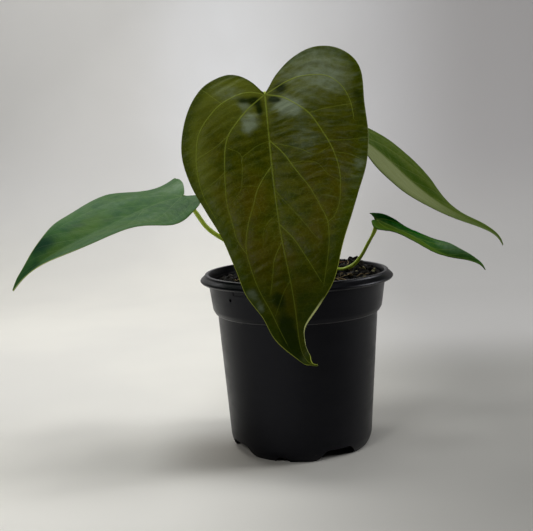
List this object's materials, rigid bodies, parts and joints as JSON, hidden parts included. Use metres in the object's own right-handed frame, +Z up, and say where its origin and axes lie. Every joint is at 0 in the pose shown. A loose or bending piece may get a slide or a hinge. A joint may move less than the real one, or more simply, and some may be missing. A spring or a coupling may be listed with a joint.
{
  "type": "potted queen of hearts anthurium",
  "caption": "Young heart-leaved anthurium in a round black nursery pot: a large blade hangs over the front rim, smaller pointed ones arch to the sides above peaty soil.",
  "frame": {"origin": "centre of the pot's base, on the surface that the pot stands on", "axes": "+Z up; the largest leaf hangs over the front of the pot, towards -Y; +X to the right seen from the front"},
  "size_m": [0.28, 0.1465, 0.2299],
  "materials": {
    "pot_plastic": "satin",
    "potting_mix": "matte",
    "crown": "satin",
    "petiole": "satin",
    "blade_olive": "satin",
    "blade_blue_green": "satin",
    "blade_green": "satin",
    "dry_sheath": "matte"
  },
  "bodies": {
    "root": {"pot": "pot_plastic", "soil": "potting_mix", "crown": "crown", "petiole_front": "petiole", "petiole_left": "petiole", "petiole_back": "petiole", "petiole_small": "petiole", "blade_front": "blade_olive", "blade_left": "blade_blue_green", "blade_back": "blade_green", "blade_small": "blade_green", "sheath_front": "dry_sheath", "sheath_back": "dry_sheath", "sheath_right": "dry_sheath"}
  },
  "joints": []
}
